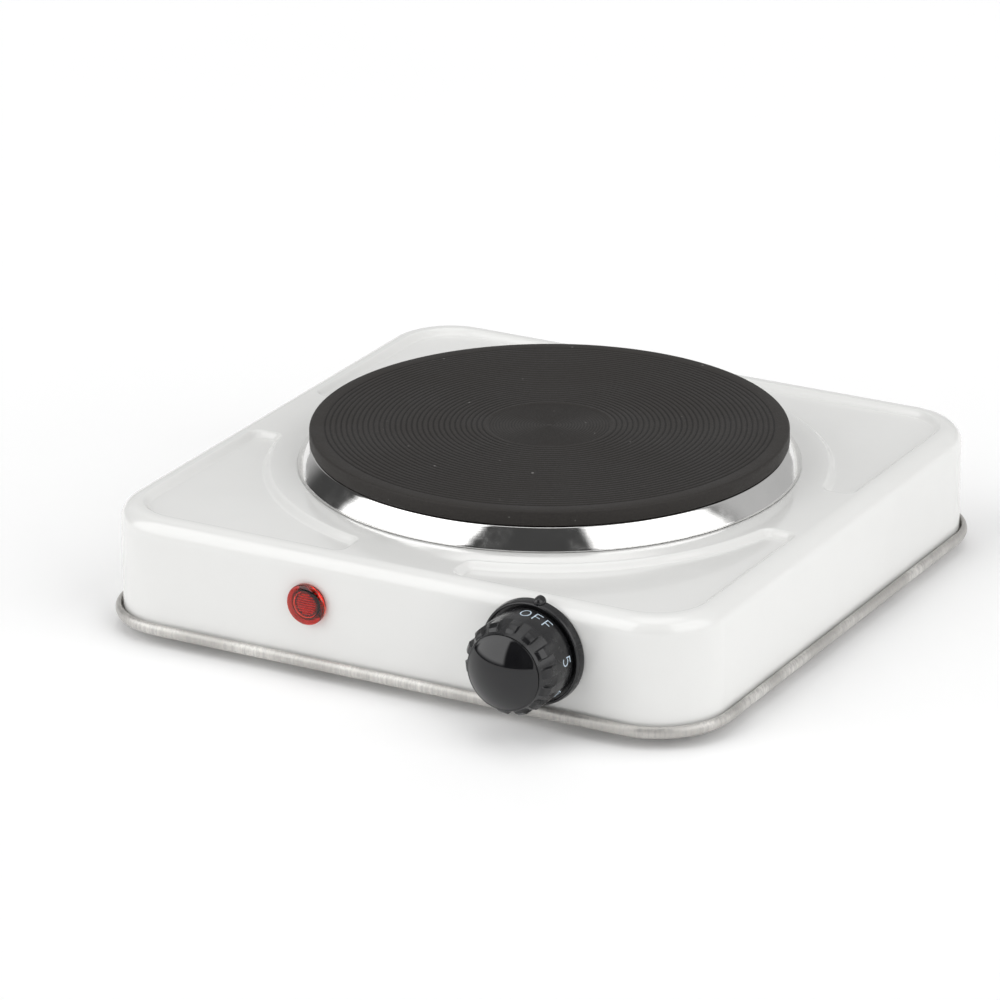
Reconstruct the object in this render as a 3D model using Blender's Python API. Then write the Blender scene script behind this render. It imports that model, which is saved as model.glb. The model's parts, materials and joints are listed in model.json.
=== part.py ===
"""A single electric hot plate: enamelled shell, galvanised base, cast iron plate, dial and lamp.

Units are metres and +Z is up. The front faces -Y, the feet stand on z = 0, and the origin is under
the middle of the whole object. Every piece hangs from an empty at the middle of the housing, so
x and y below are measured from there. Pieces on the front wall are modelled with +Z pointing out
of the wall, and are turned onto it.
"""

import math

import bmesh
import bpy
from mathutils import Matrix, Vector
from mathutils.geometry import delaunay_2d_cdt

GAP = 0.0003

# Shell: a square pressed cover with a rounded plan and a soft top edge.
SHELL_HALF = 0.10625
SHELL_CORNER = 0.023
SHELL_TOP = 0.0417
SHELL_FOOT = 0.0048
SHELL_WALL = 0.001
TOP_FILLET = 0.0055
DECK_HOLE = 0.0735

# Recessed corner panels of the deck.
PANEL_EDGE = 0.0994
PANEL_GAP = 0.0192
PANEL_ARC = 0.0905
PANEL_CORNER = 0.017
PANEL_TIP = 0.004
PANEL_DEPTH = 0.002
SKIN_SHIFT = SHELL_WALL * math.tan(math.radians(22.5))

# Base tray, with its rolled rim outside the shell's lower edge.
TRAY_BOTTOM = 0.0036
TRAY_TOP = 0.0044
RIM_OUT = 0.0026
RIM_TOP = 0.0076
FOOT_AT = 0.0890
HOLE = 0.0021

# Hot plate: the usual 155 mm single plate.
PLATE_Y = 0.001
PLATE_RADIUS = 0.0775
PLATE_TOP = 0.0541
PLATE_SIDE = 0.0050
SPUD_RADIUS = 0.0715
RING_RADIUS = 0.08145

# Heating coil: two rings in series, joined by a half turn, ending at the terminal.
COIL_OUTER = 0.060
COIL_INNER = 0.042
COIL_RADIUS = 0.002
COIL_Z = 0.045
PIN_X = -0.007
PIN_YS = (PLATE_Y + 0.042, PLATE_Y + 0.052)

# Controls on the front wall.
CONTROL_Z = 0.0251
DIAL_X = 0.0529
LAMP_X = -0.0274
FRONT_Y = -SHELL_HALF
RIBS = 14
NOTCH_AT = math.radians(90 - 19.4)
POINTER_AT = math.radians(90 - 8)
KNOB_REACH = 0.0250

# Cord inlet in the rear wall.
GLAND_X = 0.055
GLAND_Z = 0.0200
GLAND_REACH = 0.0055

# Thermostat behind the dial, in the front wall's frame: +Z out of the wall, +Y up.
BLADE = 0.0006
BLADE_HALF = 0.0028
BLADE_ZS = (-0.0170, -0.0210)
ARM_ROOT = -0.0068
STACK_Y = -0.0125
TAIL = -0.0195
SPINDLE_FLAT = 0.0015
DIAL_SCREW = 0.012

# Joins on the base tray.
CORNERS = ("front_left", "front_right", "rear_left", "rear_right")
EARTH_AT = (-0.030, 0.080)
BLOCK_AT = (0.030, 0.052)
CLAMP_Y = 0.080
CLAMP_SCREW = 0.0112

# The origin is under the middle of the whole, from the knob's cap to the gland.
BODY_Y = (KNOB_REACH - GLAND_REACH) / 2

TO_FRONT = (math.radians(90), 0, 0)
TO_REAR = (math.radians(-90), 0, 0)
UPRIGHT = Matrix.Rotation(math.radians(90), 4, "X")


# ---- scene, materials and objects ----------------------------------------------------------------


def clear_scene():
    for obj in list(bpy.data.objects):
        bpy.data.objects.remove(obj, do_unlink=True)


def finish_of(name, colour, roughness, metallic=0.0):
    found = bpy.data.materials.get(name)
    if found:
        return found
    made = bpy.data.materials.new(name)
    made.use_nodes = True
    shader = made.node_tree.nodes["Principled BSDF"]
    shader.inputs["Base Color"].default_value = (*colour, 1)
    shader.inputs["Roughness"].default_value = roughness
    shader.inputs["Metallic"].default_value = metallic
    return made


ENAMEL = ("enamel", (0.86, 0.86, 0.84), 0.25, 0.0)
GALVANISED = ("galvanised", (0.62, 0.61, 0.58), 0.40, 1.0)
STAINLESS = ("stainless", (0.75, 0.74, 0.72), 0.18, 1.0)
CAST_IRON = ("cast_iron", (0.045, 0.042, 0.040), 0.75, 0.2)
STEEL = ("steel", (0.55, 0.55, 0.55), 0.35, 1.0)
BRASS = ("brass", (0.70, 0.52, 0.25), 0.35, 1.0)
CERAMIC = ("ceramic", (0.85, 0.82, 0.74), 0.60, 0.0)
BLACK_GLOSS = ("black_gloss", (0.012, 0.012, 0.013), 0.15, 0.0)
BLACK_SATIN = ("black_satin", (0.040, 0.040, 0.042), 0.45, 0.0)
RED_LENS = ("red_lens", (0.80, 0.05, 0.02), 0.12, 0.0)
GLASS = ("bulb_glass", (0.90, 0.80, 0.70), 0.05, 0.0)
RUBBER = ("rubber", (0.025, 0.025, 0.025), 0.80, 0.0)
COIL_ALLOY = ("coil_alloy", (0.30, 0.28, 0.26), 0.50, 1.0)
LIVE_SLEEVE = ("sleeve_brown", (0.22, 0.09, 0.04), 0.60, 0.0)
NEUTRAL_SLEEVE = ("sleeve_blue", (0.05, 0.12, 0.40), 0.60, 0.0)
EARTH_SLEEVE = ("sleeve_green", (0.12, 0.38, 0.08), 0.60, 0.0)


def empty(name, at, turn=(0, 0, 0), parent=None):
    made = bpy.data.objects.new(name, None)
    made.location = at
    made.rotation_euler = turn
    made.parent = parent
    bpy.context.scene.collection.objects.link(made)
    return made


def add(name, bm, finish, parent, at=(0, 0, 0), turn=(0, 0, 0)):
    """A named object from a closed bmesh, with its faces turned outwards."""
    bmesh.ops.recalc_face_normals(bm, faces=bm.faces)
    mesh = bpy.data.meshes.new(name)
    bm.to_mesh(mesh)
    bm.free()
    mesh.shade_smooth()
    mesh.set_sharp_from_angle(angle=math.radians(35))
    if finish:
        mesh.materials.append(finish_of(*finish))
    made = bpy.data.objects.new(name, mesh)
    made.location = at
    made.rotation_euler = turn
    made.parent = parent
    bpy.context.scene.collection.objects.link(made)
    return made


def helper(name, bm, parent, at=(0, 0, 0), turn=(0, 0, 0)):
    """A cutter or a shape to join: kept out of the render."""
    made = add(name, bm, None, parent, at, turn)
    made.hide_render = True
    made.display_type = "WIRE"
    return made


def boolean(obj, other, operation="DIFFERENCE"):
    modifier = obj.modifiers.new(operation.lower() + "_" + other.name, "BOOLEAN")
    modifier.operation = operation
    modifier.solver = "EXACT"
    modifier.object = other


# ---- shapes --------------------------------------------------------------------------------------


def turned(profile, steps):
    """A profile of (radius, z) points spun about Z. A profile that starts and ends at radius 0 is
    closed by its poles; any other is a ring, and its last point joins its first."""
    bm = bmesh.new()
    verts = [bm.verts.new((r, 0, z)) for r, z in profile]
    edges = [bm.edges.new(pair) for pair in zip(verts, verts[1:])]
    if profile[0][0] > 0:
        edges.append(bm.edges.new((verts[-1], verts[0])))
    bmesh.ops.spin(
        bm,
        geom=verts + edges,
        cent=(0, 0, 0),
        axis=(0, 0, 1),
        angle=math.tau,
        steps=steps,
        use_merge=True,
    )
    bmesh.ops.remove_doubles(bm, verts=bm.verts, dist=1e-6)
    return bm


def cylinder(radius, low, high, steps=20):
    return turned([(0, low), (radius, low), (radius, high), (0, high)], steps)


def tube_wall(inner, outer, low, high, steps=20):
    return turned([(inner, low), (outer, low), (outer, high), (inner, high)], steps)


def prism(outline, low, high):
    """An outline of (x, y) points extruded from low to high."""
    bm = bmesh.new()
    face = bm.faces.new([bm.verts.new((x, y, low)) for x, y in outline])
    top = bmesh.ops.extrude_face_region(bm, geom=[face])["geom"]
    moved = [v for v in top if isinstance(v, bmesh.types.BMVert)]
    bmesh.ops.translate(bm, verts=moved, vec=(0, 0, high - low))
    return bm


def box(size, centre):
    bm = bmesh.new()
    where = Matrix.Translation(centre) @ Matrix.Diagonal((*size, 1))
    bmesh.ops.create_cube(bm, size=1, matrix=where)
    return bm


def merged(parts):
    """Several closed bmeshes in one, kept apart."""
    bm = bmesh.new()
    for part in parts:
        mesh = bpy.data.meshes.new("joining")
        part.to_mesh(mesh)
        part.free()
        bm.from_mesh(mesh)
        bpy.data.meshes.remove(mesh)
    return bm


def placed(bm, at=(0, 0, 0), matrix=None):
    if matrix:
        bm.transform(matrix)
    bmesh.ops.translate(bm, verts=bm.verts, vec=at)
    return bm


def rounded_square(half, corner, steps=5):
    """The outline of a square with round corners, anticlockwise from +X."""
    middle = half - corner
    points = []
    for quarter in range(4):
        start = quarter * math.pi / 2
        sx = 1 if quarter in (0, 3) else -1
        sy = 1 if quarter in (0, 1) else -1
        for step in range(steps + 1):
            angle = start + step * math.pi / 2 / steps
            x = sx * middle + corner * math.cos(angle)
            y = sy * middle + corner * math.sin(angle)
            points.append((x, y))
    return points


def softened(corners, steps):
    """A closed outline of (x, y, radius) corners, each rounded by its own radius."""
    points = []
    for i, (x, y, radius) in enumerate(corners):
        here = Vector((x, y))
        before = (Vector(corners[i - 1][:2]) - here).normalized()
        after = (Vector(corners[(i + 1) % len(corners)][:2]) - here).normalized()
        if radius <= 0:
            points.append(here)
            continue
        half = before.angle(after) / 2
        centre = here + (before + after).normalized() * radius / math.sin(half)
        start = here + before * radius / math.tan(half) - centre
        sweep = start.angle_signed(here + after * radius / math.tan(half) - centre)
        for step in range(steps + 1):
            turn = Matrix.Rotation(-sweep * step / steps, 2)
            points.append(centre + turn @ start)
    return points


def loft(bm, loops):
    """Side walls between loops of the same length. It returns the loops as vertices."""
    rows = [[bm.verts.new(point) for point in loop] for loop in loops]
    for low, high in zip(rows, rows[1:]):
        for i in range(len(low)):
            j = (i + 1) % len(low)
            bm.faces.new((low[i], low[j], high[j], high[i]))
    return rows


def cap(bm, outline, holes=()):
    """Triangles across a level outline of vertices, around any holes."""
    verts, borders = [], []
    for loop in (outline, *holes):
        borders.append(range(len(verts), len(verts) + len(loop)))
        verts += loop
    inside_with_holes = 2
    flat = [vert.co.xy for vert in verts]
    found = delaunay_2d_cdt(flat, [], borders, inside_with_holes, 1e-7)
    faces, sources = found[2], found[3]
    for face in faces:
        bm.faces.new([verts[sources[i][0]] for i in face])


def rising(outline, z):
    return [(x, y, z) for x, y in outline]


def steps_of(start, end, count):
    return [start + (end - start) * i / (count - 1) for i in range(count)]


def circle(radius, steps, centre=(0, 0)):
    angles = [math.tau * i / steps for i in range(steps)]
    return [(centre[0] + radius * math.cos(a), centre[1] + radius * math.sin(a)) for a in angles]


def flowing(points, per_span=3):
    """Points of a smooth curve that passes through the given ones."""
    ends = [2 * points[0] - points[1], *points, 2 * points[-1] - points[-2]]
    found = []
    for a, b, c, d in zip(ends, ends[1:], ends[2:], ends[3:]):
        for step in range(per_span):
            t = step / per_span
            bend = (2 * a - 5 * b + 4 * c - d) * t + (3 * b - a - 3 * c + d) * t * t
            found.append(b + (c - a) * t / 2 + bend * t / 2)
    return [*found, points[-1]]


def wire(name, points, radius, finish, parent, sides=1):
    """A round lead along its points."""
    curve = bpy.data.curves.new(name, "CURVE")
    curve.dimensions = "3D"
    curve.bevel_depth = radius
    curve.bevel_resolution = sides
    curve.use_fill_caps = True
    spline = curve.splines.new("POLY")
    spline.points.add(len(points) - 1)
    for slot, point in zip(spline.points, points):
        slot.co = (*point, 1)
    curve.materials.append(finish_of(*finish))
    made = bpy.data.objects.new(name, curve)
    made.parent = parent
    bpy.context.scene.collection.objects.link(made)
    return made


def lead(name, stops, finish, parent, radius=0.0011):
    return wire(name, flowing([Vector(stop) for stop in stops]), radius, finish, parent)


# ---- shell and base ------------------------------------------------------------------------------


def panel_outline(sx, sy, inset):
    """One recessed corner panel: two straight sides, a round corner, and an arc about the plate."""
    edge, gap, arc = PANEL_EDGE - inset, PANEL_GAP + inset, PANEL_ARC + inset
    rise = sy * PLATE_Y
    low = math.asin((gap - rise) / arc)
    high = math.acos(gap / arc)
    tip = PANEL_TIP - inset
    corners = [(edge, gap, tip), (edge, edge, PANEL_CORNER - inset), (gap, edge, tip)]
    angles = steps_of(high, low, 9)
    for angle in angles:
        rounding = tip if angle in (angles[0], angles[-1]) else 0
        corners.append((arc * math.cos(angle), rise + arc * math.sin(angle), rounding))
    return [(sx * x, sy * y) for x, y in softened(corners, 3)]


def skin(bm, wall, hole):
    """One side of the shell's sheet: its outer face for wall 0, its inner face for the sheet's wall.
    It returns the lowest loop and the loop round the plate's hole."""
    fillet = TOP_FILLET - wall
    half = SHELL_HALF - wall
    corner = SHELL_CORNER - wall
    top = SHELL_TOP - wall
    shift = SKIN_SHIFT if wall else 0
    loops = [rising(rounded_square(half, corner), SHELL_FOOT)]
    for angle in steps_of(0, math.pi / 2, 4):
        inset = fillet * (1 - math.cos(angle))
        height = top - fillet * (1 - math.sin(angle))
        loops.append(rising(rounded_square(half - inset, corner - inset), height))
    rows = loft(bm, loops)
    ring = [bm.verts.new(point) for point in rising(circle(hole, 36, (0, PLATE_Y)), top)]
    brims = []
    for sx, sy in ((1, 1), (-1, 1), (-1, -1), (1, -1)):
        brim = rising(panel_outline(sx, sy, -shift), top)
        floor = rising(panel_outline(sx, sy, PANEL_DEPTH - shift), top - PANEL_DEPTH)
        upper, lower = loft(bm, [brim, floor])
        cap(bm, lower)
        brims.append(upper)
    cap(bm, rows[-1], [ring, *brims])
    return rows[0], ring


def make_shell(root):
    bm = bmesh.new()
    outer_foot, outer_hole = skin(bm, 0, DECK_HOLE)
    inner_foot, inner_hole = skin(bm, SHELL_WALL, DECK_HOLE)
    for outer, inner in ((outer_foot, inner_foot), (outer_hole, inner_hole)):
        for i in range(len(outer)):
            j = (i + 1) % len(outer)
            bm.faces.new((outer[i], outer[j], inner[j], inner[i]))
    shell = add("top_shell", bm, ENAMEL, root)
    reach = 0.004
    drills = (
        ("dial_hole", DIAL_X, CONTROL_Z, 0.0052, FRONT_Y),
        ("dial_screw_hole_left", DIAL_X - DIAL_SCREW, CONTROL_Z, HOLE, FRONT_Y),
        ("dial_screw_hole_right", DIAL_X + DIAL_SCREW, CONTROL_Z, HOLE, FRONT_Y),
        ("lamp_hole", LAMP_X, CONTROL_Z, 0.0053, FRONT_Y),
        ("gland_hole", GLAND_X, GLAND_Z, 0.0064, -FRONT_Y),
    )
    for name, x, z, radius, y in drills:
        boolean(shell, helper(name, cylinder(radius, -reach, reach, 20), root, (x, y, z), TO_FRONT))


def make_base(root):
    half = SHELL_HALF + RIM_OUT
    middle = (TRAY_BOTTOM + RIM_TOP) / 2
    section = [
        (-0.0036, TRAY_BOTTOM),
        (-0.0014, TRAY_BOTTOM),
        (-0.0004, TRAY_BOTTOM + 0.0007),
        (0, middle),
        (-0.0004, RIM_TOP - 0.0006),
        (-0.0011, RIM_TOP),
        (-0.0017, RIM_TOP - 0.0004),
        (-0.0019, TRAY_TOP),
    ]
    bm = bmesh.new()
    corner = SHELL_CORNER + RIM_OUT
    rows = loft(bm, [rising(rounded_square(half + out, corner + out), z) for out, z in section])
    cap(bm, rows[0])
    cap(bm, rows[-1])
    base = add("base_plate", bm, GALVANISED, root)
    deep = (TRAY_BOTTOM - 0.002, TRAY_TOP + 0.002)
    drills = [placed(cylinder(HOLE, *deep, 12), at) for at in foot_places()]
    drills.append(placed(cylinder(HOLE, *deep, 12), (*EARTH_AT, 0)))
    for row in (-1, 1):
        for i in range(5):
            drills.append(box((0.004, 0.034, 0.005), ((i - 2) * 0.012, row * 0.040, TRAY_TOP)))
    boolean(base, helper("base_holes", merged(drills), root))


def foot_places():
    return [(sx * FOOT_AT, sy * FOOT_AT, 0) for sx, sy in ((-1, -1), (1, -1), (-1, 1), (1, 1))]


def make_feet(root):
    """Rubber feet, the screws through them, and the shell's corner brackets that take the screws."""
    top = TRAY_BOTTOM - GAP
    foot = [(0.0021, 0.0021), (0.0042, 0.0019), (0.0042, 0), (0.0075, 0), (0.0090, top - 0.0006)]
    foot += [(0.0090, top), (0.0021, top)]
    screw = [(0, 0.0004), (0.0034, 0.0006), (0.0034, 0.0016), (0.0017, 0.0018), (0.0017, 0.0145)]
    screw += [(0, 0.0150)]
    leg = 0.0012
    low, high = 0.0090, 0.0240
    angle_iron = [(-0.010, low), (0.0112, low), (0.0112, high), (0.0100, high), (0.0100, low + leg)]
    angle_iron += [(-0.010, low + leg)]
    for name, at in zip(CORNERS, foot_places()):
        add("foot_" + name, turned(foot, 20), RUBBER, root, at)
        add("foot_screw_" + name, turned(screw, 10), STEEL, root, at)
        outwards = math.atan2(at[1], at[0])
        iron = placed(prism(angle_iron, -0.007, 0.007), matrix=UPRIGHT)
        bracket = add("corner_bracket_" + name, iron, STEEL, root, at, (0, 0, outwards))
        drill = cylinder(HOLE, low - 0.002, low + 0.004, 12)
        boolean(bracket, helper("bracket_hole_" + name, drill, root, at))


# ---- hot plate and what clamps it ----------------------------------------------------------------


def make_plate(root):
    at = (0, PLATE_Y, 0)
    side = PLATE_TOP - PLATE_SIDE
    ceiling = 0.0475
    rib = 0.0400
    profile = [
        (0, PLATE_TOP - 0.0004),
        (0.0200, PLATE_TOP - 0.0004),
        (0.0203, PLATE_TOP),
        (PLATE_RADIUS - 0.0008, PLATE_TOP),
        (PLATE_RADIUS, PLATE_TOP - 0.0008),
        (PLATE_RADIUS, side),
        (SPUD_RADIUS, side),
        (SPUD_RADIUS, rib),
        (SPUD_RADIUS - 0.003, rib),
        (SPUD_RADIUS - 0.003, ceiling),
        (0.0310, ceiling),
        (0.0310, rib),
        (0.0280, rib),
        (0.0280, ceiling),
        (0.0100, ceiling),
        (0.0100, rib),
        (0.0033, rib),
        (0.0033, 0.0465),
        (0, 0.0465),
    ]
    add("hot_plate", turned(profile, 44), CAST_IRON, root, at)
    seat = SHELL_TOP + GAP
    lip = side - GAP
    sheet = 0.0006
    outside = [
        (RING_RADIUS, seat),
        (RING_RADIUS - 0.0001, seat + 0.0012),
        (RING_RADIUS - 0.0006, seat + 0.0032),
        (RING_RADIUS - 0.0015, seat + 0.0050),
        (RING_RADIUS - 0.0027, seat + 0.0063),
        (RING_RADIUS - 0.0042, lip),
    ]
    top_flange = [(0.0732, lip), (0.0732, lip - sheet)]
    inside = [(r - sheet, z - sheet / 3) for r, z in (outside[4], outside[2])]
    foot_flange = [(RING_RADIUS - sheet, seat + sheet), (0.0755, seat + sheet), (0.0755, seat)]
    ring = outside + top_flange + inside + foot_flange
    add("trim_ring", turned(ring, 44), STAINLESS, root, at)


def heading(angle):
    return Vector((math.cos(angle), math.sin(angle), 0))


def coil_route():
    """From the first pin up, once round the outer ring, back round the inner one, and down."""
    leg = 0.0384
    start, end = math.radians(98), math.radians(440)
    first = [Vector((PIN_X, PIN_YS[1], leg)), Vector((PIN_X, PIN_YS[1], COIL_Z))]
    centre = Vector((0, PLATE_Y, COIL_Z))
    outer = [centre + COIL_OUTER * heading(a) for a in steps_of(start, end, 28)]
    spin = math.radians(80)
    bend = (COIL_OUTER - COIL_INNER) / 2
    hub = centre + (COIL_INNER + bend) * heading(spin)
    back = [hub + bend * heading(a) for a in steps_of(spin, spin + math.pi, 6)[1:-1]]
    inner = [centre + COIL_INNER * heading(a) for a in steps_of(end, start + 0.08, 22)]
    last = [Vector((PIN_X, PIN_YS[0], COIL_Z)), Vector((PIN_X, PIN_YS[0], leg))]
    return first + outer + back + inner + last


def make_heater(root):
    at = (0, PLATE_Y, 0)
    wire("heating_coil", coil_route(), COIL_RADIUS, COIL_ALLOY, root)
    disc = add("insulation_disc", tube_wall(0.0325, 0.0678, 0.0404, 0.0426, 30), CERAMIC, root, at)
    cover = add("plate_cover", tube_wall(0.0035, 0.0710, 0.0386, 0.0396, 30), STEEL, root, at)
    legs = merged([placed(cylinder(0.0034, 0.036, 0.043, 12), (PIN_X, y, 0)) for y in PIN_YS])
    leg_holes = helper("coil_leg_holes", legs, root)
    boolean(disc, leg_holes)
    boolean(cover, leg_holes)
    strap = [(-0.084, 0.0403), (-0.084, 0.0391), (-0.0765, 0.0391), (-0.0665, 0.0332)]
    strap += [(-x, z) for x, z in reversed(strap[2:])] + [(0.084, 0.0391), (0.084, 0.0403)]
    strap += [(0.0760, 0.0403), (0.0660, 0.0344), (-0.0660, 0.0344), (-0.0760, 0.0403)]
    bridge = add("bridge_bracket", placed(prism(strap, -0.012, 0.012), matrix=UPRIGHT), STEEL, root, at)
    boolean(bridge, helper("bridge_hole", cylinder(0.0036, 0.030, 0.038, 16), root, at))
    add("centre_stud", cylinder(0.0030, 0.0240, 0.0461, 16), STEEL, root, at)
    add("stud_washer", tube_wall(0.0034, 0.0090, 0.0310, 0.0319, 20), STEEL, root, at)
    nut = add("stud_nut", prism(circle(0.0065, 6), 0.0265, 0.0307), STEEL, root, at)
    boolean(nut, helper("nut_bore", cylinder(0.0033, 0.025, 0.032, 16), root, at))
    shield_profile = [(0.0036, 0.0322), (0.0734, 0.0322), (0.0734, 0.0280), (0.0740, 0.0280)]
    shield_profile += [(0.0740, 0.0328), (0.0036, 0.0328)]
    shield = add("heat_shield", turned(shield_profile, 30), STEEL, root, at)
    middle = (PIN_X, sum(PIN_YS) / 2)
    boolean(shield, helper("terminal_slot", box((0.014, 0.026, 0.006), (*middle, 0.0325)), root))
    block = add("heater_terminal", box((0.012, 0.024, 0.0112), (*middle, 0.0326)), CERAMIC, root)
    bores = [placed(cylinder(0.0017, 0.025, 0.040, 12), (PIN_X, y, 0)) for y in PIN_YS]
    boolean(block, helper("terminal_bores", merged(bores), root))
    for name, y in zip(("heater_pin_neutral", "heater_pin_live"), PIN_YS):
        add(name, cylinder(0.0012, 0.0210, 0.0380, 12), BRASS, root, (PIN_X, y, 0))


# ---- dial and thermostat -------------------------------------------------------------------------


def make_knob(dial):
    # Height above the wall, then the radius of a rib and of the floor of a notch there.
    rows = [(0.0036, 0.0151, 0.0151), (0.0044, 0.0151, 0.0151), (0.0132, 0.0150, 0.0150)]
    rows += [(0.0167, 0.0150, 0.0137), (0.0184, 0.0139, 0.0130)]
    rows += [(0.0190, 0.0128, 0.0128), (0.0200, 0.0124, 0.0124)]
    # A notch runs between the first two of these shares of a rib's pitch, a rib between the others.
    shares = (-0.214, 0.214, 0.286, 0.714)
    bm = bmesh.new()
    loops = []
    for height, rib_radius, notch_radius in rows:
        loop = []
        for rib in range(RIBS):
            for share, r in zip(shares, (notch_radius, notch_radius, rib_radius, rib_radius)):
                a = NOTCH_AT + math.tau * (rib + share) / RIBS
                loop.append((r * math.cos(a), r * math.sin(a), height))
        loops.append(loop)
    rings = loft(bm, loops)
    cap(bm, rings[0])
    cap(bm, rings[-1])
    knob = add("knob", bm, BLACK_SATIN, dial)
    hollow = [(0.0058, 0.002), (0.0098, 0.002), (0.0098, 0.0150), (0.0058, 0.0150)]
    boolean(knob, helper("knob_hollow", turned(hollow, 24), dial))
    bore = d_section(0.0034, SPINDLE_FLAT + 0.0004, 0.002, 0.0150)
    boolean(knob, helper("knob_bore", bore, dial))
    boolean(knob, helper("cap_socket", cylinder(0.0053, 0.0170, 0.0210, 20), dial))
    shaft = add("thermostat_spindle", cylinder(0.0030, -0.0130, 0.0146, 20), BRASS, dial)
    milled = box((0.008, 0.004, 0.0130), (0, SPINDLE_FLAT + 0.002, 0.0095))
    boolean(shaft, helper("spindle_flat", milled, dial))
    dome = [(0, 0.0172), (0.0050, 0.0172), (0.0050, 0.0203), (0.0121, 0.0203), (0.0123, 0.0204)]
    dome += [(0.0122, 0.0206), (0.0119, 0.0207)]
    rise, foot = KNOB_REACH - 0.0207, 0.0119
    ball = (foot * foot + rise * rise) / (2 * rise)
    for r in steps_of(foot, 0, 5)[1:]:
        dome.append((r, KNOB_REACH - ball + math.sqrt(ball * ball - r * r)))
    add("knob_cap", turned(dome, 28), BLACK_GLOSS, dial)
    clip = box((0.0044, 0.0002, 0.0080), (0, SPINDLE_FLAT + 0.0002, 0.0090))
    add("knob_clip", clip, STEEL, dial)


def d_section(radius, flat, low, high):
    """A round bar with one flat side, at +Y."""
    start = math.asin(flat / radius)
    angles = steps_of(math.pi - start, math.tau + start, 16)
    return prism([(radius * math.cos(a), radius * math.sin(a)) for a in angles], low, high)


def make_bezel(face):
    """The fixed ring behind the knob, with a rounded pointer at its top."""
    ring = [(0.0172, GAP), (0.0171, 0.0018), (0.0168, 0.0030), (0.0164, 0.0036), (0.0160, 0.0036)]
    ring += [(0.0159, 0.0032), (0.0036, 0.0032), (0.0036, 0.0024), (0.0157, 0.0024), (0.0159, GAP)]
    bezel = add("dial_bezel", turned(ring, 32), BLACK_SATIN, face)
    nub = [(0, GAP), (0.0021, GAP), (0.0021, 0.0026), (0.0015, 0.0033), (0, 0.0035)]
    bump = helper("pointer_bump", turned(nub, 16), face, 0.0171 * heading(POINTER_AT))
    boolean(bezel, bump, "UNION")
    boolean(bezel, helper("bump_trim", cylinder(0.01605, 0.0033, 0.006, 32), face))


def blade(low, high, depth):
    """A flat spring of the switch, from y = low to y = high."""
    return box((2 * BLADE_HALF, high - low, BLADE), (0, (low + high) / 2, depth))


def make_thermostat(face, pin, arm):
    """The switch behind the dial. Its depths below the front wall are negative."""
    inner = -SHELL_WALL - GAP
    plate = [(-0.019, -0.009), (0.019, -0.009), (0.019, 0.008), (-0.019, 0.008)]
    frame = add("thermostat_frame", prism(plate, inner - 0.0012, inner), STEEL, face)
    holes = [cylinder(0.0054, -0.006, 0.002, 20)]
    holes += [placed(cylinder(HOLE, -0.006, 0.002, 12), (x, 0, 0)) for x in (-DIAL_SCREW, DIAL_SCREW)]
    boolean(frame, helper("frame_holes", merged(holes), face))
    bush = [(0.0033, -0.0002), (0.0049, -0.0002), (0.0049, -0.0029), (0.0064, -0.0029)]
    bush += [(0.0064, -0.0075), (0.0033, -0.0075)]
    add("thermostat_bush", turned(bush, 20), BRASS, face)
    screw = [(0, 0.0020), (0.0028, 0.0017), (0.0032, 0.0003), (0.0018, 0.0003), (0.0018, -0.0055)]
    screw += [(0, -0.0058)]
    for side, x in (("left", -DIAL_SCREW), ("right", DIAL_SCREW)):
        add("thermostat_screw_" + side, turned(screw, 12), STEEL, face, (x, 0, 0))
    pillar = placed(cylinder(0.0052, -0.0240, -0.0032, 20), (0, STACK_Y, 0))
    stack = add("thermostat_stack", pillar, CERAMIC, face)
    slots = [box((0.0068, 0.012, 0.0012), (0, STACK_Y, z)) for z in BLADE_ZS]
    boolean(stack, helper("blade_slots", merged(slots), face))
    upper, lower = BLADE_ZS
    add("bimetal_blade", blade(TAIL, 0.0080, lower), BRASS, face)
    add("contact_terminal", blade(TAIL, ARM_ROOT, upper), BRASS, face)
    add("contact_arm", blade(GAP, 0.0060 - ARM_ROOT, 0), BRASS, arm)
    add("push_pin", cylinder(0.0015, upper + BLADE / 2 + GAP, -0.0133, 16), CERAMIC, pin)


# ---- lamp, mains inlet and wiring ----------------------------------------------------------------


def make_lamp(root):
    at = (LAMP_X, FRONT_Y, CONTROL_Z)
    lens = [(0, 0.0016), (0.0036, 0.0006), (0.0036, -0.0080), (0.0047, -0.0080), (0.0047, GAP)]
    lens += [(0.0064, GAP), (0.0067, 0.0008), (0.0062, 0.0016), (0.0045, 0.0023), (0.0022, 0.0028)]
    lens += [(0, 0.0029)]
    add("lamp_lens", turned(lens, 24), RED_LENS, root, at, TO_FRONT)
    bulb = [(0, -0.0003), (0.0016, -0.0009), (0.0026, -0.0026), (0.0026, -0.0130), (0, -0.0130)]
    add("neon_lamp", turned(bulb, 14), GLASS, root, at, TO_FRONT)
    holder = [(0, -0.0185), (0.0046, -0.0185), (0.0046, -0.0084), (0.0031, -0.0084), (0.0031, -0.0135)]
    holder += [(0, -0.0135)]
    add("lamp_holder", turned(holder, 20), BLACK_SATIN, root, at, TO_FRONT)
    add("lamp_clip", tube_wall(0.0050, 0.0085, -0.0022, -0.0014, 24), STEEL, root, at, TO_FRONT)


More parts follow.
